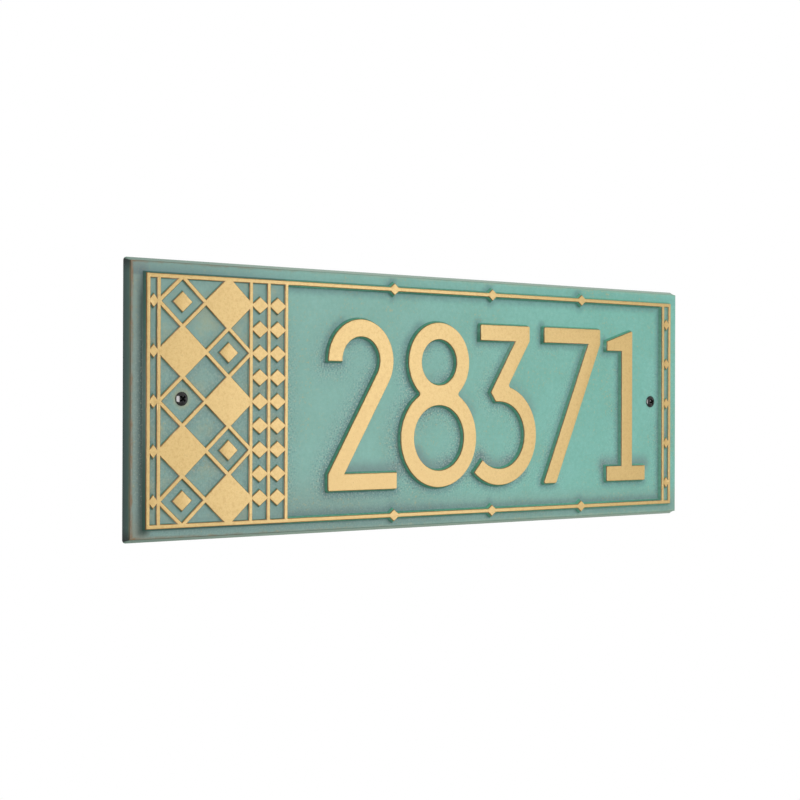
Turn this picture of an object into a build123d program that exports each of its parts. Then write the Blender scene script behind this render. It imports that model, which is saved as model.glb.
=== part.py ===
from build123d import *
from math import asin, atan, atan2, cos, degrees, hypot, radians, sin, tan
import os

# House number plaque, cast in one piece, with its two wall screws.
# Millimetres. The origin is the centre of the flat back, +X is to the right seen from the front,
# +Z is up and the front faces -Y.

# Slab
plaque_width = 431.8
plaque_height = 152.4
slab_thickness = 5.3
edge_inset = 2.0
corner_radius = 2.0
front_edge_round = 0.9

# Relief
relief_height = 2.8
relief_draft = 22.0
pocket_depth = 1.4
face_edge_bevel = 0.4
face_edge_angle = 45.0

# Border
border_inset = 11.0
border_margin = 9.1
border_drop = 0.5
bar_width = 2.3
double_pitch = 6.4
bead_height = 7.5
accent_width = 9.0
accent_height = 7.0
accent_count = 3

# Lozenge panel
panel_columns = 2
panel_rows = 5
stud_share = 0.42
chain_count = 2
chain_width = 12.0
chain_share = 0.7

# Numerals, with their proportions as shares of the number height
number_height = 100.0
number_drop = 2.0
number_right_gap = 16.8
numeral_stroke = 10.2
numeral_bar = 9.8
numeral_corner = 1.0
notch_round = 1.6
small_bowl_share = 0.241
large_bowl_share = 0.30
two_width_share = 0.51
two_tip_share = 0.008
two_to_eight_share = 0.84
eight_to_three_share = 0.498
three_bowl_share = 0.312
three_bar_left_share = 0.163
three_bar_right_share = 0.254
three_tip_share = 0.076
three_tip_level_share = 0.58
three_heel_share = 0.034
three_lean = 32.7
three_tail_angle = 133.0
three_to_seven_share = 0.3815
seven_width_share = 0.512
seven_to_one_share = 0.577
one_width_share = 0.367
one_stem_share = 0.191
one_flag_low_share = 0.863
one_flag_high_share = 0.924

# Screws
left_screw_inset = 32.2
right_screw_inset = 27.6
screw_rise = 0.8
hole_diameter = 4.8
head_diameter = 7.6
head_height = 1.9
head_side = 0.5
neck_diameter = 4.2
thread_core_diameter = 3.1
screw_length = 31.7
point_length = 5.0
recess_diameter = 4.6
recess_floor_diameter = 1.6
recess_depth = 1.6
recess_slot = 1.25
left_screw_turn = 45.0
right_screw_turn = 65.0

# Values that follow from the sizes above
edge_draft = degrees(atan(edge_inset / slab_thickness))
wall_height = relief_height - face_edge_bevel
floor_height = relief_height - pocket_depth
outline_plane = Plane.XZ.offset(slab_thickness + wall_height)
line_x = plaque_width / 2 - border_inset
line_z = plaque_height / 2 - border_margin
inner_line_x = line_x - double_pitch
left_screw_x = left_screw_inset - plaque_width / 2
right_screw_x = plaque_width / 2 - right_screw_inset
column_width = 2 * (inner_line_x + left_screw_x)
row_height = 2 * line_z / panel_rows
lattice_width = panel_columns * column_width
lattice_right = lattice_width - inner_line_x
band_right = lattice_right + chain_count * chain_width
field_middle = (band_right + inner_line_x) / 2
accent_pitch = (inner_line_x - band_right) / (accent_count + 1)
lozenge_inradius = column_width * row_height / 2 / hypot(column_width, row_height)
open_share = 1 - bar_width / 2 / lozenge_inradius

baseline = -number_height / 2 - number_drop
small_bowl = small_bowl_share * number_height
large_bowl = large_bowl_share * number_height
three_bowl = three_bowl_share * number_height
stroke_top = number_height - numeral_bar
two_width = two_width_share * number_height
seven_width = seven_width_share * number_height
one_width = one_width_share * number_height
one_left = inner_line_x - bar_width / 2 - number_right_gap - one_width
seven_left = one_left - seven_to_one_share * number_height
three_middle = seven_left - three_to_seven_share * number_height
eight_middle = three_middle - eight_to_three_share * number_height
two_left = eight_middle - two_to_eight_share * number_height

head_top = -head_height


def lozenge(width, height, mode=Mode.ADD):
    """Lozenge standing on its point, at the current locations."""
    return Polygon((width / 2, 0), (0, height / 2), (-width / 2, 0), (0, -height / 2), align=None, mode=mode)


def raise_relief(outline):
    """Raise a drawn outline: a drafted wall from the field up to it, and a bevelled edge above it."""
    extrude(amount=-wall_height, taper=-relief_draft)
    extrude(outline.sketch, amount=face_edge_bevel, taper=face_edge_angle)


def wall_screw(seat):
    """One screw whose head sits at this height above the back: its neck fills the hole down to the back."""
    with BuildPart() as made:
        with BuildSketch(Plane.XY):
            with BuildLine():
                rim = (head_diameter / 2, -seat - head_side)
                dome = TangentArc((0, head_top - seat), rim, tangent=(1, 0))
                Polyline(
                    dome @ 1,
                    (head_diameter / 2, -seat),
                    (neck_diameter / 2, -seat),
                    (neck_diameter / 2, 0),
                    (thread_core_diameter / 2, 0),
                    (thread_core_diameter / 2, screw_length - seat - point_length),
                    (0, screw_length - seat),
                    dome @ 0,
                )
            make_face()
        revolve(axis=Axis.Y)
        add(Pos(0, -seat, 0) * recess.part, mode=Mode.SUBTRACT)
    return made.part


with BuildPart() as plaque:
    # Slab, narrower at the front than at the back
    with BuildSketch(Plane.XZ):
        RectangleRounded(plaque_width, plaque_height, corner_radius)
    extrude(amount=slab_thickness, taper=edge_draft)
    fillet(plaque.faces().sort_by(Axis.Y)[0].edges(), front_edge_round)

    # Raised floor of the panel and of the double lines, whose pockets are shallower than the field
    with BuildSketch(Plane.XZ.offset(slab_thickness) * Pos(0, -border_drop)):
        with Locations(((band_right - line_x) / 2, 0)):
            Rectangle(band_right + line_x, 2 * line_z)
        with Locations(((line_x + inner_line_x) / 2, 0)):
            Rectangle(double_pitch, 2 * line_z)
    extrude(amount=floor_height)

    # Lozenge panel: every second lozenge is left solid, the others are open and hold a small one
    with BuildSketch(outline_plane * Pos(0, -border_drop)) as ornament:
        with Locations(((lattice_right - inner_line_x) / 2, 0)):
            Rectangle(lattice_width, 2 * line_z)
            with GridLocations(column_width, row_height, panel_columns + 1, panel_rows + 1):
                lozenge(open_share * column_width, open_share * row_height, mode=Mode.SUBTRACT)
        for column in range(panel_columns):
            with Locations((left_screw_x + column * column_width, 0)):
                with GridLocations(column_width, 2 * row_height, 1, (panel_rows + 1 - column % 2) // 2):
                    lozenge(open_share * column_width, open_share * row_height, mode=Mode.SUBTRACT)
                    lozenge(stud_share * column_width, stud_share * row_height)
        # The open lozenge round the left screw
        with Locations((left_screw_x, 0)):
            lozenge(open_share * column_width, open_share * row_height, mode=Mode.SUBTRACT)
        # Chains of lozenges that close the panel
        with Locations(((lattice_right + band_right) / 2, 0)):
            with GridLocations(chain_width, row_height / 2, chain_count, 2 * panel_rows - 1):
                lozenge(chain_width, chain_share * row_height / 2)
            with GridLocations(chain_width, 1, chain_count + 1, 1):
                Rectangle(bar_width, 2 * line_z + bar_width)
        # Beads between the double lines at both ends, and accents on the long lines
        with GridLocations(line_x + inner_line_x, row_height, 2, panel_rows):
            lozenge(double_pitch, bead_height)
        with Locations((field_middle, 0)):
            with GridLocations(accent_pitch, 2 * line_z, accent_count, 2):
                lozenge(accent_width, accent_height)
        # Border lines
        with GridLocations(2 * line_x, 1, 2, 1):
            Rectangle(bar_width, 2 * line_z + bar_width)
        with GridLocations(2 * inner_line_x, 1, 2, 1):
            Rectangle(bar_width, 2 * line_z + bar_width)
        with GridLocations(1, 2 * line_z, 1, 2):
            Rectangle(2 * line_x + bar_width, bar_width)
    raise_relief(ornament)

    # 2: the leaning stroke runs from the corner of the foot to the inside of the bowl
    with BuildSketch(outline_plane * Pos(two_left, baseline)) as numeral_two:
        bowl_level = number_height - small_bowl
        inside = small_bowl - numeral_stroke
        tip_level = bowl_level - two_tip_share * number_height
        corner_reach = hypot(small_bowl, bowl_level - numeral_bar)
        lean = atan2(small_bowl, bowl_level - numeral_bar) + asin(inside / corner_reach)
        with BuildLine():
            over = CenterArc((small_bowl, bowl_level), small_bowl, 180, -180 - degrees(lean))
            under = CenterArc((small_bowl, bowl_level), inside, 180, -180 - degrees(lean))
            foot_x = (over @ 1).X - ((over @ 1).Y - numeral_bar) * tan(lean)
            Polyline(
                over @ 1,
                (foot_x, numeral_bar),
                (two_width, numeral_bar),
                (two_width, 0),
                (0, 0),
                (0, numeral_bar),
                under @ 1,
            )
            Polyline(under @ 0, (numeral_stroke, tip_level), (0, tip_level), over @ 0)
        make_face()
        fillet(numeral_two.vertices().group_by(Axis.Y)[0], numeral_corner)
    raise_relief(numeral_two)

    # 8: two rings, one on the baseline and one under the top
    with BuildSketch(outline_plane * Pos(eight_middle, baseline)) as numeral_eight:
        with Locations((0, number_height - small_bowl)):
            Circle(small_bowl)
        with Locations((0, large_bowl)):
            Circle(large_bowl)
        notches = numeral_eight.vertices().filter_by_position(
            Axis.Y, large_bowl + numeral_stroke, number_height - small_bowl - numeral_stroke
        )
        fillet(notches, notch_round)
        with Locations((0, large_bowl)):
            Circle(large_bowl - numeral_stroke, mode=Mode.SUBTRACT)
        with Locations((0, number_height - small_bowl)):
            Circle(small_bowl - numeral_stroke, mode=Mode.SUBTRACT)
    raise_relief(numeral_eight)

    # 3: bar, leaning stroke and open bowl
    with BuildSketch(outline_plane * Pos(three_middle, baseline)) as numeral_three:
        lean = radians(three_lean)
        tip_x = -three_tip_share * number_height
        tip_level = three_tip_level_share * number_height
        heel_level = 2 * three_bowl - numeral_stroke
        bar_left = -three_bar_left_share * number_height
        bar_right = three_bar_right_share * number_height
        right_x = tip_x + numeral_stroke / cos(lean)
        stroke_reach = (tip_level - three_bowl) * sin(lean) - right_x * cos(lean)
        crotch_angle = 90 - three_lean + degrees(asin(stroke_reach / three_bowl))
        with BuildLine():
            inside = three_bowl - numeral_stroke
            over = CenterArc((0, three_bowl), three_bowl, -three_tail_angle, three_tail_angle + crotch_angle)
            under = CenterArc((0, three_bowl), inside, -three_tail_angle, three_tail_angle + 90)
            Polyline(
                over @ 1,
                (bar_right, tip_level + (bar_right - right_x) / tan(lean)),
                (bar_right, number_height),
                (bar_left, number_height),
                (bar_left, stroke_top),
                (tip_x + (stroke_top - tip_level) * tan(lean), stroke_top),
                (tip_x, tip_level),
                (-three_heel_share * number_height, heel_level),
                under @ 1,
            )
            Line(under @ 0, over @ 0)
        make_face()
        fillet(numeral_three.vertices().sort_by_distance(over @ 1)[0], notch_round)
        fillet(numeral_three.vertices().group_by(Axis.Y)[-1], numeral_corner)
    raise_relief(numeral_three)

    # 7: the leaning stroke runs from under the left end of the bar to its right end
    with BuildSketch(outline_plane * Pos(seven_left, baseline)) as numeral_seven:
        lean = atan2(seven_width, stroke_top) - asin(numeral_stroke / hypot(seven_width, stroke_top))
        Polygon(
            (0, number_height),
            (seven_width, number_height),
            (seven_width, stroke_top),
            (numeral_stroke / cos(lean), 0),
            (0, 0),
            (stroke_top * tan(lean), stroke_top),
            (0, stroke_top),
            align=None,
        )
        fillet(numeral_seven.vertices().group_by(Axis.Y)[0], numeral_corner)
        fillet(numeral_seven.vertices().group_by(Axis.Y)[-1], numeral_corner)
    raise_relief(numeral_seven)

    # 1: flag, stem and foot
    with BuildSketch(outline_plane * Pos(one_left, baseline)) as numeral_one:
        stem_left = one_stem_share * number_height - numeral_stroke / 2
        stem_right = stem_left + numeral_stroke
        flag_low = one_flag_low_share * number_height
        flag_high = one_flag_high_share * number_height
        Polygon(
            (0, flag_high),
            (stem_right, number_height),
            (stem_right, numeral_bar),
            (one_width, numeral_bar),
            (one_width, 0),
            (0, 0),
            (0, numeral_bar),
            (stem_left, numeral_bar),
            (stem_left, flag_low),
            (0, flag_low),
            align=None,
        )
        fillet(numeral_one.vertices().group_by(Axis.Y)[0], numeral_corner)
        fillet(numeral_one.vertices().group_by(Axis.Y)[-1], numeral_corner)
    raise_relief(numeral_one)

    # Screw holes
    with BuildSketch(Plane.XZ):
        with Locations((left_screw_x, screw_rise), (right_screw_x, screw_rise)):
            Circle(hole_diameter / 2)
    extrude(amount=slab_thickness + relief_height, mode=Mode.SUBTRACT)

# Cross recess of a screw head
with BuildPart() as recess:
    with BuildSketch(Plane.XY):
        Polygon(
            (0, head_top),
            (recess_diameter / 2, head_top),
            (recess_floor_diameter / 2, head_top + recess_depth),
            (0, head_top + recess_depth),
            align=None,
        )
    revolve(axis=Axis.Y)
    with BuildSketch(Plane.XZ.offset(-head_top)):
        Rectangle(recess_diameter, recess_slot)
        Rectangle(recess_slot, recess_diameter)
    extrude(amount=-recess_depth, mode=Mode.INTERSECT)

# The same screw twice, the left one on the panel's raised floor and the right one on the field
left_screw = wall_screw(slab_thickness + floor_height)
right_screw = wall_screw(slab_thickness)

with BuildPart() as mounting_screws:
    with Locations(Location((left_screw_x, 0, screw_rise), (0, left_screw_turn, 0))):
        add(left_screw)
    with Locations(Location((right_screw_x, 0, screw_rise), (0, right_screw_turn, 0))):
        add(right_screw)

plaque.part.label = "plaque"
mounting_screws.part.label = "mounting_screws"

os.makedirs("parts", exist_ok=True)
export_step(plaque.part, "parts/plaque.step")
export_step(mounting_screws.part, "parts/mounting_screws.step")
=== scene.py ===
"""House number plaque: a sand-cast plate in verdigris and gold paint, with its two wall screws.

Everything is in metres in the CAD frame: the flat back lies on Y = 0, the front faces -Y and Z is up.
Sizes in the classes below are in millimetres, as on a drawing, and turn into metres where a mesh is made.
"""
import logging
import math
from contextlib import contextmanager
from dataclasses import dataclass, field
from enum import Enum
from functools import cached_property, reduce
from typing import Any, Callable, Iterator, Sequence

import bmesh
import bpy
from mathutils import Matrix, Vector
from mathutils.kdtree import KDTree


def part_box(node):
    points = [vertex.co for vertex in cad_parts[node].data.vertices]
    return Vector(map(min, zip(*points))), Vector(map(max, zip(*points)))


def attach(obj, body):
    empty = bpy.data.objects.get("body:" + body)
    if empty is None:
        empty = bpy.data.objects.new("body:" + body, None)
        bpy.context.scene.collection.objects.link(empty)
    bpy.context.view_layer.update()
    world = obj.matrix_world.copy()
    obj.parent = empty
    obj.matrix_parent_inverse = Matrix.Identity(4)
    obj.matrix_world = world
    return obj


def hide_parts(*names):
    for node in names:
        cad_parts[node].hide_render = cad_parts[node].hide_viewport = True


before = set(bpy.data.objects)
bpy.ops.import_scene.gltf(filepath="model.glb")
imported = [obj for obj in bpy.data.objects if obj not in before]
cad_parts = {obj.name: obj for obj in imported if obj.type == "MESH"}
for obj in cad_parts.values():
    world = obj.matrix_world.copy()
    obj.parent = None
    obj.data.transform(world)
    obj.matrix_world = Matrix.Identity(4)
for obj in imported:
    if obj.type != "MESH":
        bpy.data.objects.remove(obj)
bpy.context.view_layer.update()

MM = 0.001
MERGE_GAP = 1e-6  # metres
BODY = "root"
LOG = logging.getLogger("plaque_scene")

Colour = tuple[float, float, float, float]
Socket = bpy.types.NodeSocket
Station = tuple[float, float]


class Side(Enum):
    """The end of the plaque, seen from the front."""

    LEFT = "left"
    RIGHT = "right"


class Element(Enum):
    """What is picked in edit mode."""

    EDGE = "edges"
    FACE = "faces"


class Curve(Enum):
    """How a ramp passes from its start to its end."""

    SMOOTH = "SMOOTHSTEP"
    STRAIGHT = "LINEAR"


class By(Enum):
    """What a layer of paint goes by: lengths in mm, or shares and noises from 0 to 1."""

    ACROSS = "x"
    UPWARD = "z"
    HEIGHT = "height above the back"
    LEVEL = "the same, made uneven by the grain"
    STIPPLE = "fine grain"
    MOTTLE = "coarse grain"
    CLOUD = "noise of the paint's clouds"
    STAIN = "noise of the stains"
    SPECK = "noise of the specks"
    GRIT = "noise of the sand"
    WANDER = "noise of the worn edge"
    STEEP = "steepness"
    SUNK = "share of a pocket's floor"
    MARGIN = "share of the left margin"
    DIRT = "share of grime"
    # The distance to the relief's feet where painted shadow and dust lie, on the side away from the light.
    LEE = "distance to the sheltering relief"
    CLOSE = "the same, with smaller drifts"
    POOL = "distance to the stroke below"
    HALO = "distance to the left screw"
    RIM = "very uneven distance to the slab's edge"
    INSET = "uneven distance to the slab's edge"
    END = "distance to an end, less that to a long edge"
    TIP = "distance above or below the middle"
    RUB = "share of rubbing on the slab's edge"
    RECESS = "share of the cross recess"


@dataclass(frozen=True)
class Drawing:
    """The plaque's main places and heights in mm, which its paint and its pieces share."""

    half_width: float = 215.9
    half_height: float = 76.2
    border: float = 67.6
    panel_edge: float = -114.0
    field_level: float = 5.3
    pocket_level: float = 6.7
    face_level: float = 8.1
    left_screw: float = -183.7
    right_screw: float = 188.3
    screw_rise: float = 0.8


PLAQUE = Drawing()


# ---- Paint and its layers ----


def paint(red: int, green: int, blue: int) -> Colour:
    """Turn a colour written in screen values into scene light, by the sRGB curve.

    Args:
        red: Red from 0 to 255.
        green: Green from 0 to 255.
        blue: Blue from 0 to 255.

    Returns:
        The linear colour with a full alpha.
    """
    shares = [value / 255 for value in (red, green, blue)]
    linear = [share / 12.92 if share <= 0.04045 else ((share + 0.055) / 1.055) ** 2.4 for share in shares]
    return (linear[0], linear[1], linear[2], 1.0)


@dataclass(frozen=True)
class Grain:
    """A grain's features per metre, and its contrast."""

    scale: float
    contrast: float


@dataclass(frozen=True)
class Noise:
    """A noise to go by: its features per metre, its octaves, and how strong the finer ones are."""

    by: By
    scale: float
    detail: float = 2.0
    roughness: float = 0.5


@dataclass(frozen=True)
class Ramp:
    """A passage from one strength to another, as a reading goes from low to high."""

    by: By
    low: float
    high: float
    start: float = 0.0
    end: float = 1.0
    curve: Curve = Curve.SMOOTH


def straight(by: By, start: float = 0.0, end: float = 1.0) -> Ramp:
    """Give a straight ramp over a share or a noise."""
    return Ramp(by, 0.0, 1.0, start, end, Curve.STRAIGHT)


class Layer:
    """A named layer of paint, as thick as the product of its ramps."""

    def __init__(self, name: str, colour: "Colour | Coat", *ramps: Ramp) -> None:
        """Describe the layer.

        Args:
            name: What it shows.
            colour: A plain colour, or a coat with layers of its own.
            *ramps: Where it lies, and how thick.
        """
        self.name = name
        self.colour = colour
        self.ramps = ramps


class Coat:
    """A base with layers of paint over it."""

    def __init__(self, base: "Colour | Coat", *layers: Layer) -> None:
        """Stack the layers.

        Args:
            base: A plain colour, or a coat with layers of its own.
            *layers: What lies over it, from the bottom up.
        """
        self.base = base
        self.layers = layers


# ---- Node work ----


@dataclass
class NodeBench:
    """A node tree with short ways to place nodes and wire them."""

    tree: bpy.types.NodeTree

    def feed(self, socket: Socket, value: Any) -> None:
        """Wire another node's output into a socket, or set the socket's own value.

        Args:
            socket: The input that is fed.
            value: An output socket, or a plain number or colour.
        """
        if isinstance(value, bpy.types.NodeSocket):
            self.tree.links.new(value, socket)
        else:
            socket.default_value = value

    def node(self, kind: str, inputs: dict[Any, Any] | None = None, **settings: Any) -> bpy.types.Node:
        """Place a node, set its options and feed its inputs.

        Args:
            kind: The node's type name.
            inputs: Values or sockets for its inputs, by name or number.
            **settings: The node's own options.

        Returns:
            The new node.
        """
        made = self.tree.nodes.new(kind)
        for name, value in settings.items():
            setattr(made, name, value)
        for key, value in (inputs or {}).items():
            self.feed(made.inputs[key], value)
        return made

    def sums(self, operation: str, *values: Any, clamp: bool = False) -> Socket:
        """Place a Math node.

        Args:
            operation: The Math node's operation.
            *values: Its operands.
            clamp: Whether the result is held between 0 and 1.

        Returns:
            The result.
        """
        made = self.node("ShaderNodeMath", operation=operation, use_clamp=clamp)
        for socket, value in zip(made.inputs, values):
            self.feed(socket, value)
        return made.outputs[0]

    def fold(self, operation: str, *values: Any) -> Any:
        """Fold values into one, two at a time, by an operation such as MULTIPLY or MAXIMUM."""
        return reduce(lambda first, second: self.sums(operation, first, second), values)

    def swing(self, noise: Socket, width: float) -> Socket:
        """Turn a noise into a swing about zero."""
        return self.sums("MULTIPLY_ADD", noise, width, -width / 2)

    def step(self, value: Any, low: Any, high: Any, start: float, end: float,
             curve: Curve = Curve.SMOOTH) -> Socket:
        """Pass from one strength to another as a value goes from low to high."""
        inputs = {"Value": value, "From Min": low, "From Max": high, "To Min": start, "To Max": end}
        return self.node("ShaderNodeMapRange", inputs, interpolation_type=curve.value).outputs["Result"]

    def blend(self, share: Any, first: Any, second: Any, label: str = "") -> Socket:
        """Mix two colours by how much of the second one shows."""
        made = self.node("ShaderNodeMix", {0: share, 6: first, 7: second}, data_type="RGBA", label=label)
        return made.outputs[2]

    def noise(self, place: Socket, scale: Any, detail: float, roughness: float) -> Socket:
        """Place a Noise Texture, by its features per metre, octaves and the strength of the finer ones."""
        inputs = {"Vector": place, "Scale": scale, "Detail": detail, "Roughness": roughness}
        return self.node("ShaderNodeTexNoise", inputs).outputs[0]

    def attribute(self, name: str) -> Socket:
        """Read a value that the mesh carries."""
        return self.node("ShaderNodeAttribute", attribute_name=name).outputs["Fac"]

    def bump(self, height: Socket, strength: float, depth: float) -> Socket:
        """Turn a height from 0 to 1 into a bumped normal, with its depth in mm."""
        inputs = {"Strength": strength, "Distance": depth * MM, "Height": height}
        return self.node("ShaderNodeBump", inputs).outputs[0]

    def dress(self, inputs: dict[str, Any]) -> None:
        """Feed the inputs of the tree's Principled BSDF.

        Args:
            inputs: Values or sockets, by the inputs' names.
        """
        shader = self.tree.nodes["Principled BSDF"]
        for label, value in inputs.items():
            self.feed(shader.inputs[label], value)


@dataclass
class EffectShelf:
    """The node groups that more than one finish uses, each built once."""

    large_scale: float = 0.37
    large_share: float = 0.45

    @cached_property
    def grain(self) -> bpy.types.NodeTree:
        """A stipple of two sizes of grain, as on a sand casting or a sprayed coat.

        Returns:
            A group from Place, Scale and Contrast to Mask and Height.
        """
        tree = bpy.data.node_groups.new("Grain", "ShaderNodeTree")
        tree.interface.new_socket("Place", in_out="INPUT", socket_type="NodeSocketVector")
        ways = {"Scale": "INPUT", "Contrast": "INPUT", "Mask": "OUTPUT", "Height": "OUTPUT"}
        for label, way in ways.items():
            tree.interface.new_socket(label, in_out=way, socket_type="NodeSocketFloat")
        bench = NodeBench(tree)
        given = bench.node("NodeGroupInput").outputs
        result = bench.node("NodeGroupOutput").inputs
        wide = bench.sums("MULTIPLY", given["Scale"], self.large_scale)
        large = bench.noise(given["Place"], wide, 1.0, 0.5)
        small = bench.noise(given["Place"], given["Scale"], 2.0, 0.6)
        small = bench.sums("MULTIPLY", small, 1 - self.large_share)
        height = bench.sums("MULTIPLY_ADD", large, self.large_share, small)
        centred = bench.sums("SUBTRACT", height, 0.5)
        mask = bench.sums("MULTIPLY_ADD", centred, given["Contrast"], 0.5, clamp=True)
        bench.feed(result["Mask"], mask)
        bench.feed(result["Height"], height)
        return tree


@dataclass
class Survey:
    """The readings of one material, and the masks and colours that its layers make of them."""

    bench: NodeBench
    place: Socket
    fine: Socket
    coarse: Socket
    readings: dict[By, Socket]
    masks: dict[Ramp, Socket] = field(default_factory=dict)

    @classmethod
    def start(cls, tree: bpy.types.NodeTree, shelf: EffectShelf, fine: Grain, coarse: Grain) -> "Survey":
        """Take the readings that both of the plaque's finishes go by.

        Args:
            tree: The material's node tree.
            shelf: The shared effects.
            fine: The fine grain.
            coarse: The coarse grain.

        Returns:
            The survey.
        """
        bench = NodeBench(tree)
        place = bench.node("ShaderNodeTexCoord").outputs["Object"]
        axes = bench.node("ShaderNodeSeparateXYZ", {0: place}).outputs
        readings = {By.ACROSS: bench.sums("MULTIPLY", axes["X"], 1 / MM),
                    By.UPWARD: bench.sums("MULTIPLY", axes["Z"], 1 / MM),
                    By.HEIGHT: bench.sums("MULTIPLY", axes["Y"], -1 / MM)}
        heights = []
        for by, grain in ((By.STIPPLE, fine), (By.MOTTLE, coarse)):
            inputs = {"Place": place, "Scale": grain.scale, "Contrast": grain.contrast}
            placed = bench.node("ShaderNodeGroup", inputs, node_tree=shelf.grain)
            readings[by] = placed.outputs["Mask"]
            heights.append(placed.outputs["Height"])
        return cls(bench, place, heights[0], heights[1], readings)

    def step(self, ramp: Ramp) -> Socket:
        """Follow a ramp, with one node however often it is used.

        Args:
            ramp: The ramp.

        Returns:
            Its strength.
        """
        if ramp not in self.masks:
            reading = self.readings[ramp.by]
            self.masks[ramp] = self.bench.step(reading, ramp.low, ramp.high, ramp.start, ramp.end, ramp.curve)
        return self.masks[ramp]

    def share(self, *ramps: Ramp) -> Socket:
        """Multiply ramps together."""
        return self.bench.fold("MULTIPLY", *(self.step(ramp) for ramp in ramps))

    def mix(self, colour: Colour | Coat) -> Any:
        """Lay a coat's layers over its base, from the bottom up.

        Args:
            colour: A plain colour, or a coat.

        Returns:
            The plain colour, or the coat's mixed colour.
        """
        if not isinstance(colour, Coat):
            return colour
        mixed = self.mix(colour.base)
        for layer in colour.layers:
            mixed = self.bench.blend(self.share(*layer.ramps), mixed, self.mix(layer.colour), layer.name)
        return mixed


# ---- Finishes ----


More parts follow.
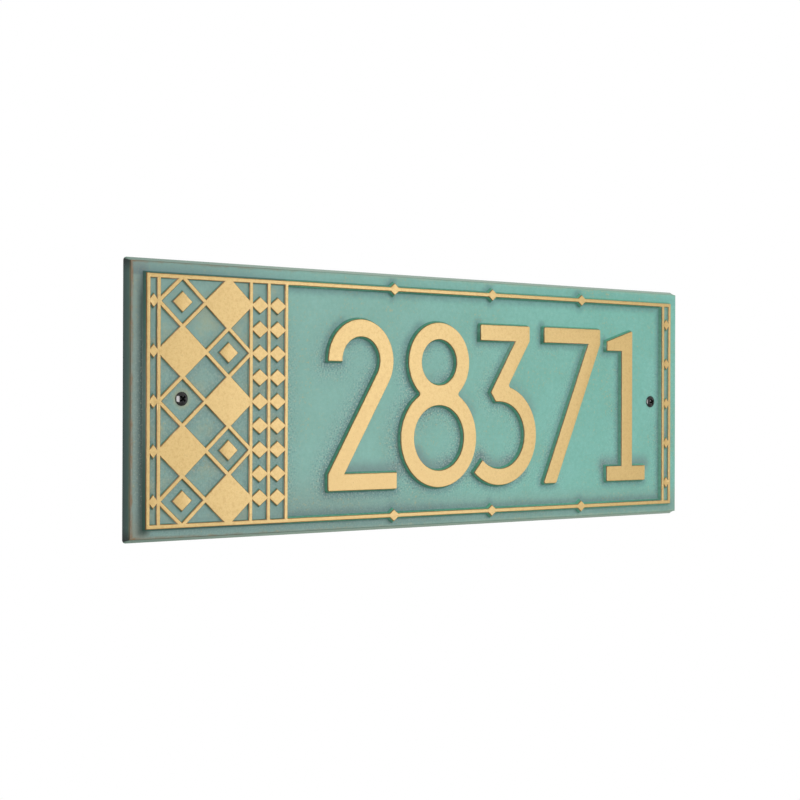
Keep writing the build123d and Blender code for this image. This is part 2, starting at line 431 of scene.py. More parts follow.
@dataclass(frozen=True)
class CastingFinish:
    """Verdigris paint with a dusty wash, painted shade and painted light on a sand casting, and gold paint on
    its raised faces.
    """

    name: str = "verdigris_and_gold"
    green: Colour = paint(128, 190, 178)
    green_deep: Colour = paint(122, 183, 170)
    # A pale veil, partly a painted sheen.
    veil: Colour = paint(154, 174, 168)
    chalk: Colour = paint(182, 190, 176)
    grime: Colour = paint(130, 134, 127)
    shade: Colour = paint(80, 104, 114)
    silt: Colour = paint(108, 120, 124)
    # Deep green-black for painted shadow.
    hollow: Colour = paint(48, 72, 64)
    ochre: Colour = paint(184, 172, 122)
    wall_green: Colour = paint(94, 172, 140)
    wall_deep: Colour = paint(70, 138, 108)
    pocket_wall: Colour = paint(78, 108, 98)
    long_side: Colour = paint(149, 172, 158)
    # Paler underside: painted light.
    under_side_painted_light: Colour = paint(158, 183, 165)
    # The ends' dark teal is painted shade; the same colour is the back's overspray.
    end_teal_and_shade: Colour = paint(88, 121, 111)
    shaded_end_back: Colour = paint(76, 98, 94)
    # Near black, for painted shade at the ends' bottom and corners.
    corner: Colour = paint(40, 42, 41)
    rust: Colour = paint(128, 104, 74)
    rubbed_pale: Colour = paint(176, 176, 146)
    scuffed: Colour = paint(152, 140, 98)
    copper: Colour = paint(142, 96, 48)
    gold: Colour = paint(203, 172, 107)
    gold_deep: Colour = paint(186, 153, 88)
    metal: Colour = paint(150, 152, 150)

    # The grains and noises, and how far they move the lines of the paint.
    stipple: Grain = Grain(1300.0, 3.0)
    mottle: Grain = Grain(420.0, 3.0)
    noises: tuple[Noise, ...] = (
        Noise(By.CLOUD, 24.0),
        Noise(By.STAIN, 75.0, 3.0, 0.6),
        Noise(By.SPECK, 620.0, 3.0, 0.6),
        Noise(By.GRIT, 950.0, 1.0),
        Noise(By.WANDER, 130.0),
    )
    level_swing: float = 0.4
    drift_swing: float = 3.0
    small_drift: float = 0.4
    halo_swing: float = 7.0
    rim_swing: float = 9.0
    inset_swing: float = 1.2
    wander_swing: float = -2.2
    wander_shift: float = 0.9

    # Where grime gathers (the pockets, the left end, the top margin, and from the bottom line up to a
    # brink), and where the slab's edge is rubbed.
    sunk: Ramp = Ramp(By.HEIGHT, PLAQUE.field_level + 0.6, PLAQUE.pocket_level - 0.2)
    margin: Ramp = Ramp(By.ACROSS, -206.5, -200, 1, 0)
    top_margin: Ramp = Ramp(By.UPWARD, PLAQUE.border - 1.5, PLAQUE.border)
    pocket_dirt: Ramp = straight(By.SUNK, 0, 0.34)
    left_dirt: Ramp = Ramp(By.ACROSS, -209, -194, 0.62, 0)
    top_dirt: Ramp = Ramp(By.ACROSS, -190, -95, 0.34, 0)
    brink: Ramp = Ramp(By.ACROSS, -100, -10, 34 - PLAQUE.border, 15 - PLAQUE.border)
    low_dirt: float = 0.4
    edge_rubs: tuple[Ramp, Ramp] = (Ramp(By.ACROSS, -211.5, -209, 1, 0),
                                    Ramp(By.ACROSS, -190, -60, 0.6, 0.3))

    # The sunk floors: stippled green, ochre mottling, and dust with painted shadow and shade by the relief.
    sand: tuple[Ramp, ...] = (
        Ramp(By.LEE, 1, 16, 0.6, 0),
        Ramp(By.SUNK, 0, 1, 1, 0.3),
        Ramp(By.UPWARD, 5, 60, 1, 0),
        Ramp(By.ACROSS, -20, 140, 1, 0.45),
        Ramp(By.UPWARD, -62, -48, 0.25, 1),
        Ramp(By.MARGIN, 0, 1, 1, 0.3),
    )
    floors: Coat = Coat(
        green,
        Layer("clouds", green_deep, Ramp(By.CLOUD, 0.35, 0.65)),
        Layer("stipple", wall_deep, straight(By.STIPPLE, 0, 0.26)),
        # A pale veil, stronger to the left: partly a painted sheen.
        Layer("veil", veil, Ramp(By.ACROSS, -120, 150, 0.34, 0.04)),
        Layer("grime", grime, straight(By.DIRT)),
        Layer("shade of the top margin", shade, top_margin,
              Ramp(By.UPWARD, PLAQUE.border, PLAQUE.half_height - 2.6, 0.5, 0.17),
              Ramp(By.ACROSS, -190, -70, 1, 0.2)),
        Layer("stains in the pockets", ochre, Ramp(By.STAIN, 0.45, 0.7, 0, 0.3), straight(By.SUNK)),
        Layer("specks", ochre, Ramp(By.SPECK, 0.55, 0.74), Ramp(By.CLOUD, 0.42, 0.62, 0.1, 0.5)),
        # Painted shadow and dust beside the feet of walls that face away from the light.
        Layer("dust by the relief", shade, Ramp(By.LEE, 0.2, 5.5, 1, 0), straight(By.STIPPLE, 0.36, 0.52),
              Ramp(By.SUNK, 0, 1, 1, 0.4),
              Ramp(By.UPWARD, -PLAQUE.border - 1.5, -PLAQUE.border, 0.55, 1)),
        # Painted shade: a wide soft darkening round the relief on the left, weaker near the top.
        Layer("haze round it", shade, Ramp(By.LEE, 0, 22, 0.14, 0), Ramp(By.ACROSS, -30, 50, 1, 0),
              Ramp(By.UPWARD, 20, 60, 1, 0.2)),
        Layer("silt on the low strokes", silt, Ramp(By.POOL, 0, 9.5, 0.6, 0),
              Ramp(By.UPWARD, -25, 8, 1, 0.45)),
        Layer("soil in the lower left corner", rust, straight(By.MARGIN),
              Ramp(By.UPWARD, -72, -58, 0.3, 0.04)),
        # Painted shadow of the panel's frame on the left margin.
        Layer("gloom of the left margin", hollow, Ramp(By.CLOSE, 0, 4.8, 0.9, 0),
              Ramp(By.UPWARD, 50, 71, 1, 0), straight(By.MARGIN)),
        Layer("pale sand", chalk, *sand, Ramp(By.GRIT, 0.55, 0.66)),
        Layer("dark sand", shade, *sand, Ramp(By.GRIT, 0.34, 0.45, 1, 0)),
        Layer("halo of the left screw", ochre, Ramp(By.HALO, 3.5, 7.5, 0.36, 0)),
    )

    # The relief's walls in the clean deep green, with painted light on the right and painted shade at their
    # feet and by the left end.
    walls: Coat = Coat(
        wall_green,
        Layer("stipple", wall_deep, straight(By.STIPPLE)),
        # Painted light: the walls paler toward the right.
        Layer("paler right", green, Ramp(By.ACROSS, -20, 130, 0, 0.2)),
        # Painted shade at the walls' feet, stronger on the left.
        Layer("dusty feet", shade, Ramp(By.LEVEL, PLAQUE.field_level, PLAQUE.field_level + 1.6, 0.6, 0),
              Ramp(By.ACROSS, -60, 130, 1, 0.25)),
        Layer("pockets", pocket_wall, Ramp(By.ACROSS, PLAQUE.panel_edge - 2, PLAQUE.panel_edge, 0.7, 0)),
        # Painted shade on the walls by the left end.
        Layer("left lee", hollow, Ramp(By.ACROSS, -206, -204, 0.5, 0)),
    )

    # The slab's sides, painted shade on the ends and to the left, painted light below, and the worn line
    # along the front edge.
    worn: Coat = Coat(rust, Layer("paler right", rubbed_pale, Ramp(By.ACROSS, -150, -10)))
    # Painted shade: the ends dark, deeper toward the back, the bottom and the corners; the scuffs are wear.
    butts: Coat = Coat(
        shaded_end_back,
        Layer("front", end_teal_and_shade, Ramp(By.LEVEL, 0.3, 4.6)),
        Layer("mottle", shaded_end_back, straight(By.MOTTLE, 0, 0.25)),
        Layer("dark foot", corner, Ramp(By.UPWARD, -66, 10, 0.2, 0)),
        Layer("scuffs", scuffed, Ramp(By.LEVEL, 3.4, 4.8, 0, 0.62), Ramp(By.WANDER, 0.34, 0.6, 0.5, 1)),
        Layer("dark corners", corner, Ramp(By.TIP, 67, 75, 0, 0.75)),
    )
    sides: Coat = Coat(
        long_side,
        # Painted light: the underside paler.
        Layer("underside", under_side_painted_light, Ramp(By.UPWARD, -74, -70, 1, 0)),
        # Painted shade: the long sides darker toward the left.
        Layer("duller left", end_teal_and_shade, Ramp(By.ACROSS, -210, -105, 0.45, 0)),
        Layer("ends", butts, Ramp(By.END, -0.6, 0.6, 1, 0)),
    )

    # Gold on the raised faces, with painted shade low on the left numerals, and the bare back with overspray.
    leaf: Coat = Coat(
        gold,
        Layer("stipple", gold_deep, straight(By.STIPPLE)),
        # Painted shade: the gold darker low down on the left numerals.
        Layer("film", gold_deep, Ramp(By.ACROSS, -120, -105), Ramp(By.ACROSS, -40, 60, 1, 0),
              Ramp(By.UPWARD, -55, 35, 0.55, 0)),
    )
    bare: Coat = Coat(
        metal,
        # The overspray on the back is in the ends' dark teal.
        Layer("overspray", end_teal_and_shade, straight(By.STIPPLE, 0, 0.3)),
        Layer("overspray at the rim", end_teal_and_shade, Ramp(By.RIM, 0, 9, 0.75, 0.06)),
    )
    face: Ramp = Ramp(By.LEVEL, PLAQUE.face_level - 0.26, PLAQUE.face_level - 0.1)
    back: Ramp = Ramp(By.HEIGHT, 0.02, 0.06, 1, 0)
    whole: Coat = Coat(
        floors,
        Layer("walls", walls, Ramp(By.STEEP, 0.05, 0.5)),
        Layer("rubbed tops", copper, Ramp(By.LEVEL, PLAQUE.face_level - 0.8, PLAQUE.face_level - 0.68),
              Ramp(By.LEVEL, PLAQUE.face_level - 0.2, PLAQUE.face_level - 0.08, 0.85, 0)),
        Layer("worn line", worn, Ramp(By.INSET, 2.05, 3.4, 1, 0), Ramp(By.MOTTLE, 0.1, 0.8, 0.5, 0.95),
              straight(By.RUB), Ramp(By.WANDER, 0.36, 0.6, 0.7, 1)),
        Layer("sides", sides, Ramp(By.LEVEL, PLAQUE.field_level - 0.75, PLAQUE.field_level - 0.35, 1, 0)),
        Layer("gold", leaf, face),
        Layer("back", bare, back),
    )

    gold_metallic: float = 0.16
    bare_metallic: float = 0.6
    roughness: Ramp = straight(By.STIPPLE, 0.5, 0.6)
    gold_smoothness: float = -0.24
    gold_coat: float = 0.6
    coat_roughness: float = 0.3
    specular: float = 0.18
    gold_relief: float = 0.22
    bump_strength: float = 0.5
    bump_depth: float = 0.35

    def material(self, shelf: EffectShelf) -> bpy.types.Material:
        """Build the casting's paint.

        Args:
            shelf: The shared effects.

        Returns:
            The material.
        """
        made = bpy.data.materials.new(self.name)
        made.use_nodes = True
        survey = Survey.start(made.node_tree, shelf, self.stipple, self.mottle)
        self._read(survey)
        bench = survey.bench
        face = survey.step(self.face)
        bare = bench.sums("MULTIPLY", survey.step(self.back), self.bare_metallic)
        rough = survey.step(self.roughness)
        relief = bench.sums("MULTIPLY", survey.fine, bench.step(face, 0.0, 1.0, 1.0, self.gold_relief))
        bench.dress({
            "Base Color": survey.mix(self.whole),
            "Metallic": bench.sums("MULTIPLY_ADD", face, self.gold_metallic, bare),
            "Roughness": bench.sums("MULTIPLY_ADD", face, self.gold_smoothness, rough),
            "Coat Weight": bench.sums("MULTIPLY", face, self.gold_coat),
            "Coat Roughness": self.coat_roughness,
            "Specular IOR Level": self.specular,
            "Normal": bench.bump(relief, self.bump_strength, self.bump_depth),
        })
        return made

    def _read(self, survey: Survey) -> None:
        """Add the readings that only the casting's paint goes by.

        Args:
            survey: The material's survey.
        """
        bench, found, coarse = survey.bench, survey.readings, survey.coarse
        across, upward = found[By.ACROSS], found[By.UPWARD]
        for noise in self.noises:
            found[noise.by] = bench.noise(survey.place, noise.scale, noise.detail, noise.roughness)
        found[By.STEEP] = bench.attribute("steepness")
        found[By.LEVEL] = bench.sums("ADD", found[By.HEIGHT], bench.swing(coarse, self.level_swing))
        found[By.SUNK] = survey.step(self.sunk)
        found[By.MARGIN] = survey.step(self.margin)

        low = bench.step(upward, -PLAQUE.border, survey.step(self.brink), self.low_dirt, 0.0)
        top = survey.share(self.top_margin, self.top_dirt)
        pocket, left = survey.step(self.pocket_dirt), survey.step(self.left_dirt)
        found[By.DIRT] = bench.fold("MAXIMUM", pocket, left, low, top)

        drift = bench.swing(coarse, self.drift_swing)
        # Distance to the feet where painted shadow and dust lie.
        shade_reach = bench.attribute("lee_distance")
        found[By.LEE] = bench.sums("ADD", shade_reach, drift)
        found[By.CLOSE] = bench.sums("MULTIPLY_ADD", drift, self.small_drift, shade_reach)
        found[By.POOL] = bench.sums("ADD", bench.attribute("pool_distance"), drift)

        aside = bench.sums("SUBTRACT", across, PLAQUE.left_screw)
        above = bench.sums("SUBTRACT", upward, PLAQUE.screw_rise)
        square = bench.sums("MULTIPLY_ADD", aside, aside, bench.sums("MULTIPLY", above, above))
        found[By.HALO] = bench.sums("ADD", bench.sums("SQRT", square), bench.swing(coarse, self.halo_swing))

        found[By.TIP] = bench.sums("ABSOLUTE", upward)
        end = bench.sums("SUBTRACT", PLAQUE.half_width, bench.sums("ABSOLUTE", across))
        long_edge = bench.sums("SUBTRACT", PLAQUE.half_height, found[By.TIP])
        edge = bench.sums("MINIMUM", end, long_edge)
        wander = bench.sums("MULTIPLY_ADD", found[By.WANDER], self.wander_swing, self.wander_shift)
        found[By.END] = bench.sums("SUBTRACT", end, long_edge)
        found[By.RIM] = bench.sums("ADD", edge, bench.swing(coarse, self.rim_swing))
        found[By.INSET] = bench.fold("ADD", edge, bench.swing(coarse, self.inset_swing), wander)
        found[By.RUB] = bench.fold("MAXIMUM", *(survey.step(ramp) for ramp in self.edge_rubs))


@dataclass(frozen=True)
class ScrewFinish:
    """Glossy black coating on a steel screw, thin on its thread, with painted shade in its cross recess."""

    name: str = "black_screw_coating"
    black: Colour = paint(14, 13, 14)
    brown: Colour = paint(36, 31, 29)
    # Near black for painted shade in the cross recess.
    recess_shade: Colour = paint(7, 7, 7)
    steel: Colour = paint(120, 116, 110)
    spray: Grain = Grain(2600.0, 2.4)
    smear: Grain = Grain(700.0, 3.4)
    rubbed: tuple[Ramp, Ramp] = (Ramp(By.HEIGHT, -0.4, 0.4, 1, 0), straight(By.MOTTLE, 0, 0.5))
    coating: Coat = Coat(
        black,
        Layer("brown smears", brown, straight(By.MOTTLE, 0, 0.5)),
        Layer("rubbed thread", steel, *rubbed),
        # Painted shade in the recess.
        Layer("dull recess", recess_shade, straight(By.RECESS)),
    )
    # Fully metallic and black in the recess, so it reflects nearly nothing: painted shade.
    metallic: Ramp = Ramp(By.RECESS, 0, 1, 0.6, 1)
    thread_metallic: float = 0.7
    roughness: Ramp = straight(By.STIPPLE, 0.18, 0.28)
    recess_roughness: float = 0.5
    gloss: Ramp = Ramp(By.RECESS, 0, 1, 0.55, 0)
    coat_roughness: float = 0.14
    specular: float = 0.2
    bump_strength: float = 0.12
    bump_depth: float = 0.1

    def material(self, shelf: EffectShelf) -> bpy.types.Material:
        """Build the screws' coating.

        Args:
            shelf: The shared effects.

        Returns:
            The material.
        """
        made = bpy.data.materials.new(self.name)
        made.use_nodes = True
        survey = Survey.start(made.node_tree, shelf, self.spray, self.smear)
        bench = survey.bench
        recess = bench.attribute("recess")
        survey.readings[By.RECESS] = recess
        thread = bench.sums("MULTIPLY", survey.share(*self.rubbed), self.thread_metallic)
        rough = survey.step(self.roughness)
        bench.dress({
            "Base Color": survey.mix(self.coating),
            "Metallic": bench.sums("MAXIMUM", survey.step(self.metallic), thread),
            "Roughness": bench.sums("MULTIPLY_ADD", recess, self.recess_roughness, rough),
            "Coat Weight": survey.step(self.gloss),
            "Coat Roughness": self.coat_roughness,
            "Specular IOR Level": self.specular,
            "Normal": bench.bump(survey.fine, self.bump_strength, self.bump_depth),
        })
        return made


@dataclass(frozen=True)
class FloorFinish:
    """Pale matt floor sheet."""

    name: str = "pale_floor"
    pale: Colour = paint(236, 236, 234)
    shade: Colour = paint(226, 226, 225)
    clouds: Noise = Noise(By.CLOUD, 3.0, 3.0)
    roughness: float = 0.85

    def material(self) -> bpy.types.Material:
        """Build the floor's finish.

        Returns:
            The material.
        """
        made = bpy.data.materials.new(self.name)
        made.use_nodes = True
        bench = NodeBench(made.node_tree)
        place = bench.node("ShaderNodeTexCoord").outputs["Object"]
        cloud = bench.noise(place, self.clouds.scale, self.clouds.detail, self.clouds.roughness)
        bench.dress({"Base Color": bench.blend(cloud, self.pale, self.shade), "Roughness": self.roughness})
        return made


# ---- Mesh work ----


def deselect() -> None:
    """Leave object mode ready for a new piece, with nothing selected."""
    if bpy.context.object is not None and bpy.context.object.mode != "OBJECT":
        bpy.ops.object.mode_set(mode="OBJECT")
    bpy.ops.object.select_all(action="DESELECT")


def take(piece: bpy.types.Object) -> None:
    """Make one object the only selected one, and the active one.

    Args:
        piece: The object.
    """
    deselect()
    piece.select_set(True)
    bpy.context.view_layer.objects.active = piece


@contextmanager
def editing(piece: bpy.types.Object) -> Iterator[None]:
    """Open one object in edit mode for the length of a with block.

    Args:
        piece: The object.

    Yields:
        Nothing.
    """
    take(piece)
    bpy.ops.object.mode_set(mode="EDIT")
    yield
    bpy.ops.object.mode_set(mode="OBJECT")


def pick(piece: bpy.types.Object, element: Element, wanted: Callable[[Any], bool]) -> int:
    """Select, in edit mode, the edges or faces that a test picks by their place or normal.

    Args:
        piece: The object in edit mode.
        element: Whether edges or faces are picked.
        wanted: The test.

    Returns:
        How many are selected.
    """
    bpy.ops.mesh.select_mode(type=element.name)
    bpy.ops.mesh.select_all(action="DESELECT")
    cage = bmesh.from_edit_mesh(piece.data)
    picked = [part for part in getattr(cage, element.value) if wanted(part)]
    for part in picked:
        part.select_set(True)
    bmesh.update_edit_mesh(piece.data)
    return len(picked)


def apply_modifier(piece: bpy.types.Object, kind: str, **settings: Any) -> None:
    """Add a modifier to a piece and apply it.

    Args:
        piece: The object.
        kind: The modifier's type name.
        **settings: The modifier's options.
    """
    take(piece)
    modifier = piece.modifiers.new(kind.lower(), kind)
    for name, value in settings.items():
        setattr(modifier, name, value)
    bpy.ops.object.modifier_apply(modifier=modifier.name)


def turned(name: str, stations: Sequence[Station], sides: int) -> bpy.types.Object:
    """Turn a closed solid about the Y axis, one extrusion for each station of its profile.

    Args:
        name: The object's name.
        stations: Radius and place along Y of each ring, in mm.
        sides: Vertices round each ring.

    Returns:
        The object.
    """
    deselect()
    radius, along = stations[0]
    bpy.ops.mesh.primitive_circle_add(vertices=sides, radius=radius * MM, fill_type="NGON",
                                      location=(0, along * MM, 0), rotation=(math.pi / 2, 0, 0))
    piece = bpy.context.object
    piece.name = name
    bpy.ops.object.transform_apply()
    with editing(piece):
        bpy.ops.mesh.select_all(action="SELECT")
        for next_radius, next_along in stations[1:]:
            shift = (0, (next_along - along) * MM, 0)
            bpy.ops.mesh.extrude_region_move(TRANSFORM_OT_translate={"value": shift})
            share = next_radius / radius
            bpy.ops.transform.resize(value=(share, 1, share), center_override=(0, next_along * MM, 0))
            radius, along = next_radius, next_along
        bpy.ops.mesh.select_all(action="SELECT")
        bpy.ops.mesh.normals_make_consistent(inside=False)
    return piece


# ---- The object ----


@dataclass
class Casting:
    """The cast plate: slab, border, panel and numerals in one piece, with the mould's soft feet."""

    node: str = "plaque"
    slot: str = "plaque"
    name: str = "casting"
    floor_levels: tuple[float, float] = (PLAQUE.field_level, PLAQUE.pocket_level)
    floor_slack: float = 0.02
    floor_facing: float = -0.99
    floor_pitch: float = 2.0
    flat_angle: float = 0.5
    foot_angle: float = 20.0
    foot_round: float = 0.35
    foot_segments: int = 3
    foot_sample: float = 0.6
    smooth_angle: float = 50.0
    normal_weight: int = 80
    # Painted shadow and dust lie by walls that face away from the light and along the low border, and silt on
    # the upper sides of low strokes.
    light_from: Station = (0.8, 0.6)
    shadow_limit: float = 0.1
    ledge_limit: float = 0.5
    settle_height: float = -62.0
    pool_height: float = 12.0
    # Steepness starts where a face turns from the front by more than this cosine, and is full a span on.
    flat_facing: float = 0.97
    steep_span: float = 0.5
    shadow_dust_feet: list[Vector] = field(default_factory=list)
    pool_feet: list[Vector] = field(default_factory=list)

    def build(self, finish: CastingFinish, shelf: EffectShelf) -> bpy.types.Object:
        """Model and dress the casting.

        Args:
            finish: Its paint.
            shelf: The shared effects.

        Returns:
            The piece.
        """
        piece = self._copy_node()
        self._round_feet(piece)
        self._grid_floors(piece)
        self._mark(piece)
        take(piece)
        bpy.ops.object.shade_smooth_by_angle(angle=math.radians(self.smooth_angle))
        apply_modifier(piece, "WEIGHTED_NORMAL", keep_sharp=True, weight=self.normal_weight)
        piece.data.materials.clear()
        piece.data.materials.append(finish.material(shelf))
        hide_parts(self.node)
        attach(piece, BODY)
        return piece

    def _copy_node(self) -> bpy.types.Object:
        """Copy the CAD node, merge its loose triangles and dissolve the flat ones.

        Returns:
            The copy.
        """
        take(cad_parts[self.node])
        bpy.ops.object.duplicate()
        piece = bpy.context.object
        for key in [key for key in piece.keys() if key.startswith("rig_")]:
            del piece[key]
        piece.name = self.name
        piece.data.name = self.name
        with editing(piece):
            bpy.ops.mesh.select_all(action="SELECT")
            bpy.ops.mesh.remove_doubles(threshold=MERGE_GAP)
            bpy.ops.mesh.dissolve_limited(angle_limit=math.radians(self.flat_angle))
        return piece

    def _is_floor(self, face: bmesh.types.BMFace) -> bool:
        """Tell whether a face is part of the field or of a pocket's floor."""
        gaps = [abs(level + face.calc_center_median().y / MM) for level in self.floor_levels]
        return face.normal.y < self.floor_facing and min(gaps) < self.floor_slack

    def _is_foot(self, edge: bmesh.types.BMEdge) -> bool:
        """Tell whether an edge is the hollow corner between a floor and a relief wall.

        Args:
            edge: The edge.

        Returns:
            Whether it is.
        """
        if edge.is_convex or len(edge.link_faces) != 2:
            return False
        floors = [self._is_floor(face) for face in edge.link_faces]
        return sum(floors) == 1 and edge.calc_face_angle(0.0) > math.radians(self.foot_angle)

    def _round_feet(self, piece: bpy.types.Object) -> None:
        """Fill the foot of every relief wall with the mould's fillet, and keep the feet's places.

        Args:
            piece: The copy of the CAD node.
        """
        with editing(piece):
            count = pick(piece, Element.EDGE, self._is_foot)
            for edge in bmesh.from_edit_mesh(piece.data).edges:
                if edge.select:
                    self._keep_foot(edge)
            bpy.ops.mesh.bevel(offset=self.foot_round * MM, offset_type="OFFSET", segments=self.foot_segments,
                               profile=0.5, affect="EDGES", clamp_overlap=False)
        LOG.info("rounded %d foot edges", count)

    def _keep_foot(self, edge: bmesh.types.BMEdge) -> None:
        """Keep places along a wall's foot, if painted shadow and dust lie there or silt gathers on it.

        Args:
            edge: The foot's edge.
        """
        start, end = (corner.co.copy() for corner in edge.verts)
        parts = max(1, math.ceil((end - start).length / (self.foot_sample * MM)))
        places = [start.lerp(end, step / parts) for step in range(parts)]
        wall = min(edge.link_faces, key=lambda face: -face.normal.y)
        top = max(start.z, end.z) / MM
        # Feet of walls that face away from the light, or low on the plate, get painted shadow and dust.
        lit = self.light_from[0] * wall.normal.x + self.light_from[1] * wall.normal.z
        ledge = wall.normal.z > self.ledge_limit and top < self.pool_height
        if top < self.settle_height or lit < self.shadow_limit:
            self.shadow_dust_feet.extend(places)
        elif ledge and start.x > PLAQUE.panel_edge * MM:
            self.pool_feet.extend(places)

    def _grid_floors(self, piece: bpy.types.Object) -> None:
        """Cut the sunk floors into small squares, so that they can carry the distance to the relief.

        Args:
            piece: The copy of the CAD node.
        """
        low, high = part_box(self.node)
        pitch = self.floor_pitch * MM
        with editing(piece):
            pick(piece, Element.FACE, self._is_floor)
            bpy.ops.mesh.hide(unselected=True)
            for axis, normal in ((0, Vector((1, 0, 0))), (2, Vector((0, 0, 1)))):
                cuts = math.floor((high[axis] - low[axis]) / pitch)
                first = (low[axis] + high[axis] - (cuts - 1) * pitch) / 2
                for cut in range(cuts):
                    bpy.ops.mesh.select_all(action="SELECT")
                    bpy.ops.mesh.bisect(plane_co=normal * (first + cut * pitch), plane_no=normal)
            bpy.ops.mesh.reveal(select=False)

    def _mark(self, piece: bpy.types.Object) -> None:
        """Store on the mesh what the paint goes by: each face's steepness and the distance to the relief.

        Args:
            piece: The finished mesh.
        """
        for name, feet in (("lee_distance", self.shadow_dust_feet), ("pool_distance", self.pool_feet)):
            tree = KDTree(len(feet))
            for number, place in enumerate(feet):
                tree.insert(place, number)
            tree.balance()
            distance = piece.data.attributes.new(name, "FLOAT", "POINT")
            for number, vertex in enumerate(piece.data.vertices):
                distance.data[number].value = tree.find(vertex.co)[2] / MM
        steepness = piece.data.attributes.new("steepness", "FLOAT", "FACE")
        for number, face in enumerate(piece.data.polygons):
            steep = (self.flat_facing + face.normal.y) / self.steep_span
            steepness.data[number].value = min(1.0, max(0.0, steep))


@dataclass
class WallScrews:
    """The two cross-recess pan-head screws that hold the plaque to the wall."""

    node: str = "mounting_screws"
    slot: str = "mounting_screws"
    seat_level: float = PLAQUE.field_level
    sides: int = 48
    head_radius: float = 3.8
    head_height: float = 1.9
    head_side: float = 0.5
    head_chamfer: float = 0.15
    dome_rings: int = 10
    neck_radius: float = 2.1
    neck_taper: float = 0.3
    neck_slack: float = 0.01
    neck_facing: float = 0.5
    core_radius: float = 1.55
    length: float = 31.7
    point_length: float = 5.0
    tip_radius: float = 0.12
    # The thread is a three-cornered ridge that starts behind the back and runs out on the point.
    thread_start: float = 1.2
    thread_pitch: float = 1.8
    thread_steps: int = 28
    thread_half: float = 0.42
    thread_sink: float = 0.12
    thread_reach: float = 0.6
    thread_lead: float = 0.1
    crest_radius: float = 2.1
    least_radius: float = 0.06
    # The recess is cut by two wings that taper towards its floor and stand proud of the head.
    recess_length: float = 5.9
    recess_floor: float = 1.6
    recess_depth: float = 1.6
    recess_slot: float = 1.32
    recess_taper: float = 0.8
    recess_proud: float = 0.3
    recess_lip: float = 0.15
    wing_facing: float = 0.9
    edge_round: float = 0.07
    edge_angle: float = 40.0
    smooth_angle: float = 38.0
    places: dict[Side, float] = field(
        default_factory=lambda: {Side.LEFT: PLAQUE.left_screw, Side.RIGHT: PLAQUE.right_screw})
    lifts: dict[Side, float] = field(default_factory=lambda: {Side.LEFT: 1.4, Side.RIGHT: 0.0})
    turns: dict[Side, float] = field(default_factory=lambda: {Side.LEFT: 45.0, Side.RIGHT: 65.0})

    @property
    def thread_end(self) -> float:
        """How far the thread's core runs behind the back."""
        return self.length - self.seat_level - self.point_length

    def build(self, finish: ScrewFinish, shelf: EffectShelf) -> list[bpy.types.Object]:
        """Model one screw, then set a copy of it at each end.

        Args:
            finish: The screws' coating.
            shelf: The shared effects.

        Returns:
            The two pieces.
        """
        pattern = self._body()
        self._cut_recess(pattern)
        apply_modifier(pattern, "BEVEL", width=self.edge_round * MM, segments=2, limit_method="ANGLE",
                       angle_limit=math.radians(self.edge_angle))
        self._mark_recess(pattern)
        thread = self._thread()
        take(pattern)
        thread.select_set(True)
        bpy.ops.object.join()
        bpy.ops.object.shade_smooth_by_angle(angle=math.radians(self.smooth_angle))
        pattern.data.materials.clear()
        pattern.data.materials.append(finish.material(shelf))
        pieces = [self._set(pattern, side) for side in Side]
        bpy.data.objects.remove(pattern)
        return pieces

    def _body(self) -> bpy.types.Object:
        """Turn the screw's point, core, neck and domed head.

        Returns:
            The solid body.
        """
        seat = -self.seat_level
        stations: list[Station] = [
            (self.tip_radius, self.thread_end + self.point_length),
            (self.core_radius, self.thread_end),
            (self.core_radius, 0.0),
            (self.neck_radius, -self.neck_taper),
            (self.neck_radius, seat),
            (self.head_radius - self.head_chamfer, seat),
            (self.head_radius, seat - self.head_chamfer),
            (self.head_radius, seat - self.head_side),
        ]
        for ring in range(1, self.dome_rings):
            radius = self.head_radius * (1 - ring / self.dome_rings)
            stations.append((radius, -self._dome_level(radius)))
        return turned("screw_pattern", stations, self.sides)

    def _cut_recess(self, body: bpy.types.Object) -> None:
        """Cut the tapered cross recess into the head.

        Args:
            body: The screw's body.
        """
        top = -self.seat_level - self.head_height - self.recess_proud
        depth = self.recess_depth + self.recess_proud
        taper = (self.recess_floor / self.recess_length, 1, self.recess_taper)
        for quarter in range(2):
            deselect()
            bpy.ops.mesh.primitive_cube_add(size=1, location=(0, (top + depth / 2) * MM, 0))
            wing = bpy.context.object
            wing.scale = (self.recess_length * MM, depth * MM, self.recess_slot * MM)
            bpy.ops.object.transform_apply()
            with editing(wing):
                pick(wing, Element.FACE, lambda face: face.normal.y > self.wing_facing)
                bpy.ops.transform.resize(value=taper, center_override=(0, (top + depth) * MM, 0))
            wing.rotation_euler = (0, quarter * math.pi / 2, 0)
            bpy.ops.object.transform_apply()
            apply_modifier(body, "BOOLEAN", operation="DIFFERENCE", solver="EXACT", object=wing)
            bpy.data.objects.remove(wing)

    def _dome_level(self, radius: float) -> float:
        """Give the head's height above the back, in mm, at a radius from its axis.

        Args:
            radius: The distance from the screw's axis in mm.

        Returns:
            The height of the dome's face there.
        """
        rise = self.head_height - self.head_side
        dome = (self.head_radius ** 2 + rise ** 2) / (2 * rise)
        return self.seat_level + self.head_height - dome + math.sqrt(dome ** 2 - radius ** 2)

    def _mark_recess(self, body: bpy.types.Object) -> None:
        """Mark the faces inside the cross recess, which stay dull and are painted dark as shade, as the
        attribute recess.

        Args:
            body: The screw's body.
        """
        marks = body.data.attributes.new("recess", "FLOAT", "FACE")
        floor = self.seat_level - self.recess_depth
        for face, mark in zip(body.data.polygons, marks.data):
            radius = math.hypot(face.center.x, face.center.z) / MM
            height = -face.center.y / MM
            inside = radius < self.recess_length / 2 and height < self._dome_level(radius) - self.recess_lip
            mark.value = float(inside and height > floor)

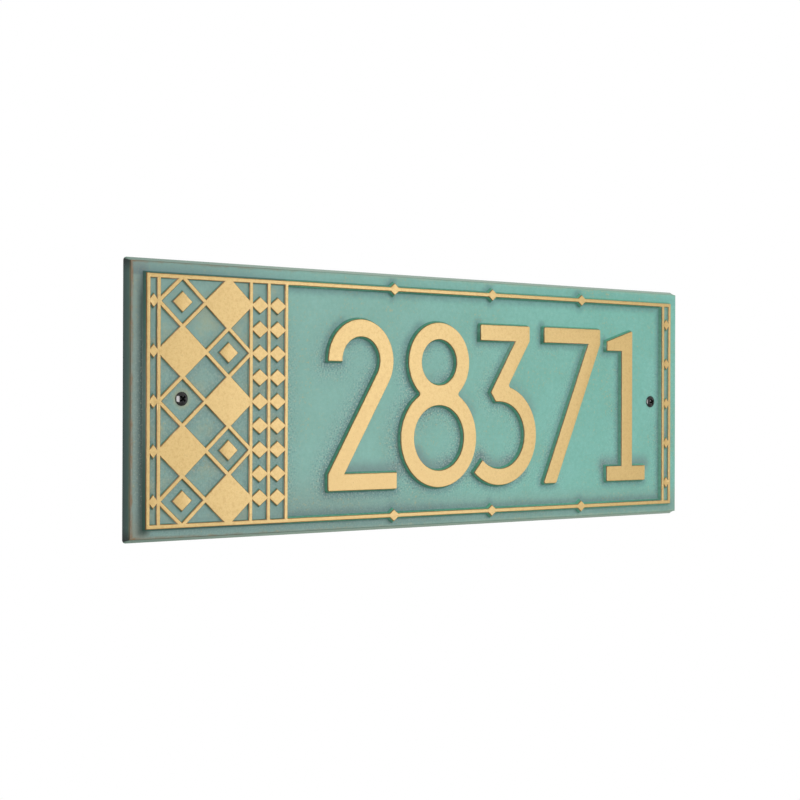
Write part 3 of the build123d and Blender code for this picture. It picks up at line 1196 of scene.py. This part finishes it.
    def _thread(self) -> bpy.types.Object:
        """Wind the thread round the core, and let it run out on the point.

        Returns:
            The thread as a closed ridge.
        """
        deselect()
        bpy.ops.mesh.primitive_circle_add(vertices=3, radius=MM, fill_type="NOTHING")
        ridge = bpy.context.object
        ridge.name = "screw_thread"
        start, half = self.thread_start, self.thread_half * self.thread_pitch
        root = self.core_radius - self.thread_sink
        corners = ((root, start - half), (self.crest_radius, start), (root, start + half))
        for vertex, (radius, along) in zip(ridge.data.vertices, corners):
            vertex.co = (radius * MM, along * MM, 0)
        reach = self.thread_end + self.thread_reach * self.point_length - start
        apply_modifier(ridge, "SCREW", axis="Y", angle=math.tau, screw_offset=self.thread_pitch * MM,
                       iterations=int(reach / self.thread_pitch), steps=self.thread_steps,
                       render_steps=self.thread_steps, use_merge_vertices=False)
        for vertex in ridge.data.vertices:
            along = vertex.co.y / MM
            radius = math.hypot(vertex.co.x, vertex.co.z) / MM
            past = max(0.0, along - self.thread_end) / self.point_length
            fade = min(1.0, max(0.0, (along - start) / self.thread_pitch + self.thread_lead))
            target = max(self.least_radius, radius - past * self.core_radius)
            if radius > self.core_radius:
                target -= (1 - fade) * (radius - self.core_radius)
            vertex.co.x *= target / radius
            vertex.co.z *= target / radius
        with editing(ridge):
            bpy.ops.mesh.select_all(action="SELECT")
            bpy.ops.mesh.remove_doubles(threshold=MERGE_GAP)
            bpy.ops.mesh.fill_holes(sides=4)
            bpy.ops.mesh.select_all(action="SELECT")
            bpy.ops.mesh.normals_make_consistent(inside=False)
        return ridge

    def _is_neck_end(self, face: bmesh.types.BMFace) -> bool:
        """Tell whether a face closes the neck at the plaque's back."""
        reach = (self.neck_taper + self.neck_slack) * MM
        return face.normal.y > self.neck_facing and -reach < face.calc_center_median().y < 0.0

    def _set(self, pattern: bpy.types.Object, side: Side) -> bpy.types.Object:
        """Set a copy of the screw in its hole, with its neck drawn out to the plaque's back.

        Args:
            pattern: The finished screw on the Y axis.
            side: The end it goes to.

        Returns:
            The piece.
        """
        take(pattern)
        bpy.ops.object.duplicate()
        piece = bpy.context.object
        piece.name = f"wall_screw_{side.value}"
        piece.data.name = piece.name
        with editing(piece):
            pick(piece, Element.FACE, self._is_neck_end)
            bpy.ops.transform.translate(value=(0, self.lifts[side] * MM, 0))
        piece.rotation_euler = (0, math.radians(self.turns[side]), 0)
        piece.location = (self.places[side] * MM, -self.lifts[side] * MM, PLAQUE.screw_rise * MM)
        bpy.ops.object.transform_apply()
        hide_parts(self.node)
        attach(piece, BODY)
        return piece


# ---- The studio ----


@dataclass(frozen=True)
class SoftBox:
    """A rectangular area lamp that points at the plaque."""

    name: str
    place: tuple[float, float, float]
    width: float
    height: float
    power: float
    lights: bool = True
    mirrored: bool = True

    def hang(self) -> None:
        """Add the lamp to the scene."""
        lamp = bpy.data.lights.new(self.name, "AREA")
        lamp.shape = "RECTANGLE"
        lamp.size = self.width
        lamp.size_y = self.height
        lamp.energy = self.power
        hung = bpy.data.objects.new(self.name, lamp)
        hung.location = self.place
        hung.rotation_euler = (-Vector(self.place)).to_track_quat("-Z", "Y").to_euler()
        hung.visible_camera = False
        hung.visible_diffuse = self.lights
        hung.visible_glossy = self.mirrored
        bpy.context.scene.collection.objects.link(hung)


@dataclass
class Studio:
    """Camera, soft lamps, white surround and pale floor."""

    camera_place: tuple[float, float, float] = (-0.665302, -0.785692, -0.002037)
    yaw: float = 39.122
    pitch: float = 0.1658
    roll: float = 0.2073
    lens: float = 75.782
    sensor: float = 36.0
    white: Colour = (1.0, 1.0, 1.0, 1.0)
    ambient: float = 0.48
    floor_drop: float = 0.62
    floor_size: float = 1.8
    lamps: tuple[SoftBox, ...] = (
        SoftBox("key", (2.6, -3.8, 2.2), 2.0, 2.0, 152.0, mirrored=False),
        SoftBox("sheen card", (0.5, -0.75, 0.0), 0.35, 0.5, 2.3, lights=False),
        SoftBox("left panel", (-0.96, -1.4, -0.1), 1.1, 2.2, 124.0, lights=False),
    )

    def build(self, floor_finish: FloorFinish) -> None:
        """Set up everything round the object.

        Args:
            floor_finish: The floor's finish.
        """
        self._camera()
        self._surround()
        for lamp in self.lamps:
            lamp.hang()
        self._floor(floor_finish)
        bpy.context.scene.view_settings.view_transform = "Standard"

    def _camera(self) -> None:
        """Place the camera where the photograph was taken from."""
        data = bpy.data.cameras.new("camera")
        data.lens = self.lens
        data.sensor_width = self.sensor
        camera = bpy.data.objects.new("camera", data)
        turn = (Matrix.Rotation(math.radians(-self.yaw), 4, "Z")
                @ Matrix.Rotation(math.radians(90 + self.pitch), 4, "X")
                @ Matrix.Rotation(math.radians(self.roll), 4, "Z"))
        camera.matrix_world = Matrix.Translation(self.camera_place) @ turn
        bpy.context.scene.collection.objects.link(camera)
        bpy.context.scene.camera = camera

    def _surround(self) -> None:
        """Show white to the eye and to reflections, and light the object softly."""
        world = bpy.data.worlds.new("white_surround")
        bpy.context.scene.world = world
        world.use_nodes = True
        bench = NodeBench(world.node_tree)
        rays = bench.node("ShaderNodeLightPath").outputs
        direct = (rays[f"Is {kind} Ray"] for kind in ("Camera", "Glossy", "Transmission"))
        seen = bench.fold("MAXIMUM", *direct)
        strength = bench.sums("MULTIPLY_ADD", seen, 1.0 - self.ambient, self.ambient)
        light = world.node_tree.nodes["Background"]
        light.inputs["Color"].default_value = self.white
        bench.feed(light.inputs["Strength"], strength)

    def _floor(self, finish: FloorFinish) -> None:
        """Lay the pale floor well below the plaque, out of the photograph's view.

        Args:
            finish: The floor's finish.
        """
        deselect()
        bpy.ops.mesh.primitive_plane_add(size=self.floor_size, location=(0, 0, -self.floor_drop))
        floor = bpy.context.object
        floor.name = "floor"
        bpy.ops.object.transform_apply()
        floor.data.materials.append(finish.material())


def main() -> None:
    """Build the pieces in order, then the studio."""
    logging.basicConfig(level=logging.INFO, format="%(message)s")
    shelf = EffectShelf()
    pieces = [Casting().build(CastingFinish(), shelf)]
    pieces.extend(WallScrews().build(ScrewFinish(), shelf))
    for piece in pieces:
        LOG.info("%s: %d vertices, %d faces", piece.name, len(piece.data.vertices), len(piece.data.polygons))
    Studio().build(FloorFinish())


if __name__ == "__main__":
    main()
